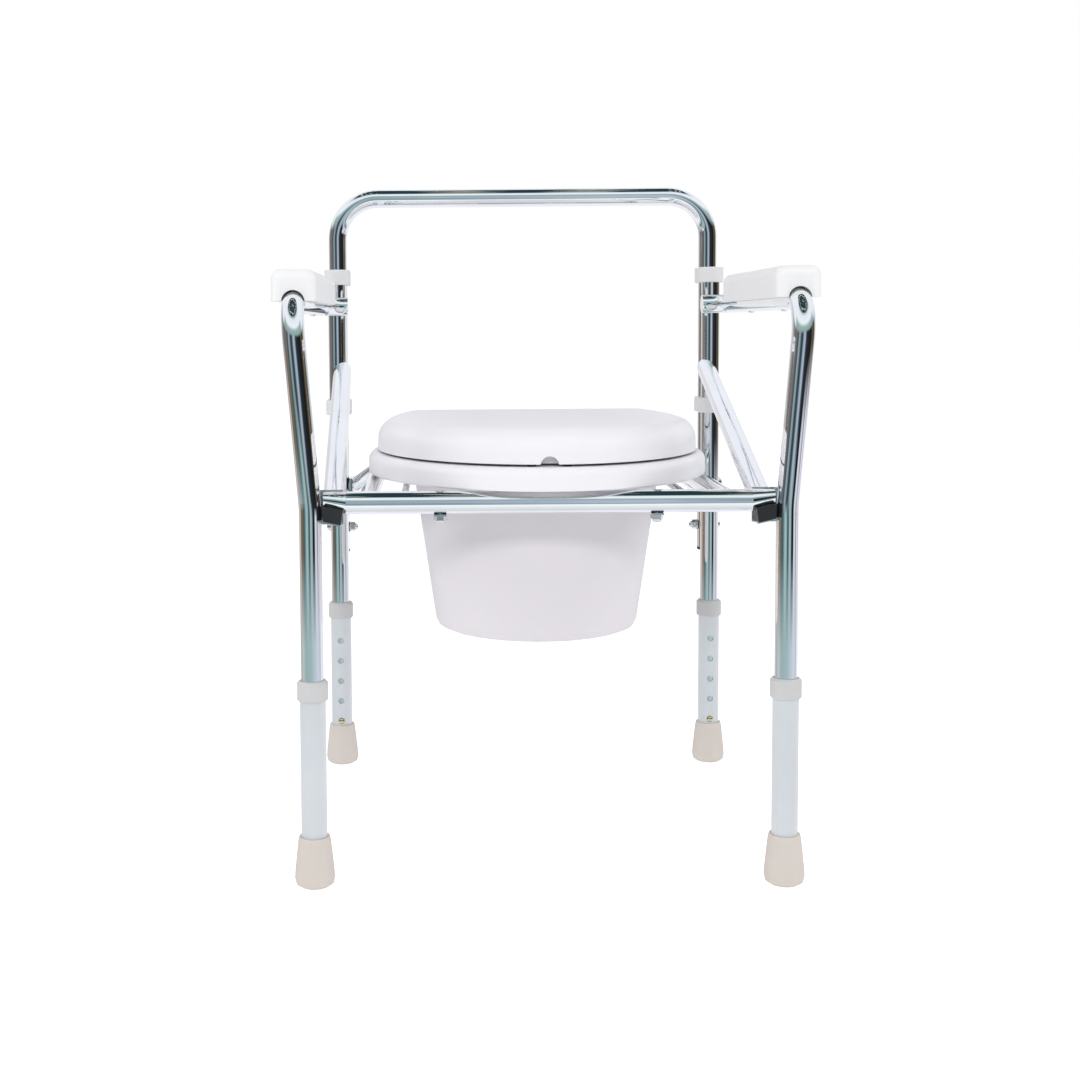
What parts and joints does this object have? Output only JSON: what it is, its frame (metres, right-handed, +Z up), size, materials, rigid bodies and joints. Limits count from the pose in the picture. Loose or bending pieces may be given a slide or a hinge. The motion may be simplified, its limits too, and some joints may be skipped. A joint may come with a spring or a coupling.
{
  "type": "commode chair",
  "caption": "Folding commode chair with a chromed tube frame, armrests, toilet seat with lid, slide-out bucket and telescopic legs with rubber tips.",
  "frame": {"origin": "on the floor, under the middle of the bounding box", "axes": "+Z up, -Y the way the sitter faces, +X on the right of somebody who looks at the front"},
  "size_m": [0.5376, 0.4853, 0.7159],
  "materials": {
    "chromed_tube": "mirror-bright chrome plating",
    "zinc_plated_steel": "bright zinc plating",
    "nickel_fasteners": "nickel-plated",
    "bare_aluminium": "satin anodised",
    "grey_plastic": "satin moulded",
    "grey_rubber": "matte moulded",
    "button_brass": "yellow-passivated, polished",
    "spring_steel": "plain",
    "black_plastic": "satin",
    "armrest_plastic": "fine satin",
    "seat_plastic": "soft gloss",
    "bumper_rubber": "matte",
    "bucket_plastic": "satin"
  },
  "bodies": {
    "frame": {"back_frame_tube": "chromed_tube", "back_tube_end_plugs": "black_plastic", "frame_bolts": "nickel_fasteners", "frame_washers": "nickel_fasteners", "frame_acorn_nuts": "nickel_fasteners", "armrest_screws": "nickel_fasteners", "front_leg_arm_tube_left": "chromed_tube", "front_leg_arm_tube_right": "chromed_tube", "rear_leg_tube_left": "chromed_tube", "rear_leg_tube_right": "chromed_tube", "brace_tube_left": "chromed_tube", "brace_tube_right": "chromed_tube", "saddle_bracket_left": "zinc_plated_steel", "saddle_bracket_right": "zinc_plated_steel", "crossbar_saddle_left": "black_plastic", "crossbar_saddle_right": "black_plastic", "upper_clip_left": "grey_plastic", "upper_clip_right": "grey_plastic", "middle_clip_left": "grey_plastic", "middle_clip_right": "grey_plastic", "armrest_pad_left": "armrest_plastic", "armrest_pad_right": "armrest_plastic", "snap_spring_front_left": "spring_steel", "snap_spring_front_right": "spring_steel", "snap_spring_rear_left": "spring_steel", "snap_spring_rear_right": "spring_steel"},
    "seat_frame": {"seat_crossbar": "chromed_tube", "seat_rail_left": "chromed_tube", "seat_rail_right": "chromed_tube", "seat_hinge_strap": "zinc_plated_steel", "seat_hinge_posts": "seat_plastic", "seat_hinge_pins": "seat_plastic", "bucket_holder_rod": "chromed_tube", "holder_tabs": "zinc_plated_steel", "holder_bolts": "nickel_fasteners", "holder_acorn_nuts": "nickel_fasteners"},
    "seat_ring": {"toilet_seat_ring": "seat_plastic", "seat_bumpers": "bumper_rubber"},
    "lid": {"toilet_lid": "seat_plastic", "lid_bumpers": "bumper_rubber"},
    "bucket": {"bucket": "bucket_plastic"},
    "leg_front_left": {"leg_extension_front_left": "bare_aluminium", "leg_collar_front_left": "grey_plastic", "foot_tip_front_left": "grey_rubber"},
    "button_front_left": {"snap_button_front_left": "button_brass"},
    "leg_front_right": {"leg_extension_front_right": "bare_aluminium", "leg_collar_front_right": "grey_plastic", "foot_tip_front_right": "grey_rubber"},
    "button_front_right": {"snap_button_front_right": "button_brass"},
    "leg_rear_left": {"leg_extension_rear_left": "bare_aluminium", "leg_collar_rear_left": "grey_plastic", "foot_tip_rear_left": "grey_rubber"},
    "button_rear_left": {"snap_button_rear_left": "button_brass"},
    "leg_rear_right": {"leg_extension_rear_right": "bare_aluminium", "leg_collar_rear_right": "grey_plastic", "foot_tip_rear_right": "grey_rubber"},
    "button_rear_right": {"snap_button_rear_right": "button_brass"}
  },
  "joints": [
    {"name": "seat_frame_lift", "type": "hinge", "parent": "frame", "child": "seat_frame", "pos_m": [0, 0.22735, 0.348], "axis": [-1, 0, 0], "range_deg": [0, 71.2]},
    {"name": "seat_ring_hinge", "type": "hinge", "parent": "seat_frame", "child": "seat_ring", "pos_m": [0, 0.16835, 0.403], "axis": [1, 0, 0], "range_deg": [-90.5, 0]},
    {"name": "lid_hinge", "type": "hinge", "parent": "seat_ring", "child": "lid", "pos_m": [0, 0.16835, 0.403], "axis": [-1, 0, 0], "range_deg": [0, 90.5]},
    {"name": "bucket_slide", "type": "slide", "parent": "seat_frame", "child": "bucket", "axis": [0, 1, 0], "range_m": [0, 0.3]},
    {"name": "leg_slide_front_left", "type": "slide", "parent": "frame", "child": "leg_front_left", "axis": [0, 0, -1], "range_m": [0, 0.1016], "deforming": ["snap_button_front_left", "snap_spring_front_left"]},
    {"name": "snap_button_front_left", "type": "slide", "parent": "frame", "child": "button_front_left", "axis": [0, -1, 0], "range_m": [0, 0.004], "stiffness_N_per_m": 1500, "springref_m": -0.003, "deforming": ["snap_spring_front_left"]},
    {"name": "leg_slide_front_right", "type": "slide", "parent": "frame", "child": "leg_front_right", "axis": [0, 0, -1], "range_m": [0, 0.1016], "deforming": ["snap_button_front_right", "snap_spring_front_right"]},
    {"name": "snap_button_front_right", "type": "slide", "parent": "frame", "child": "button_front_right", "axis": [0, -1, 0], "range_m": [0, 0.004], "stiffness_N_per_m": 1500, "springref_m": -0.003, "deforming": ["snap_spring_front_right"]},
    {"name": "leg_slide_rear_left", "type": "slide", "parent": "frame", "child": "leg_rear_left", "axis": [0, 0, -1], "range_m": [0, 0.1016], "deforming": ["snap_button_rear_left", "snap_spring_rear_left"]},
    {"name": "snap_button_rear_left", "type": "slide", "parent": "frame", "child": "button_rear_left", "axis": [0, 1, 0], "range_m": [0, 0.004], "stiffness_N_per_m": 1500, "springref_m": -0.003, "deforming": ["snap_spring_rear_left"]},
    {"name": "leg_slide_rear_right", "type": "slide", "parent": "frame", "child": "leg_rear_right", "axis": [0, 0, -1], "range_m": [0, 0.1016], "deforming": ["snap_button_rear_right", "snap_spring_rear_right"]},
    {"name": "snap_button_rear_right", "type": "slide", "parent": "frame", "child": "button_rear_right", "axis": [0, 1, 0], "range_m": [0, 0.004], "stiffness_N_per_m": 1500, "springref_m": -0.003, "deforming": ["snap_spring_rear_right"]}
  ]
}
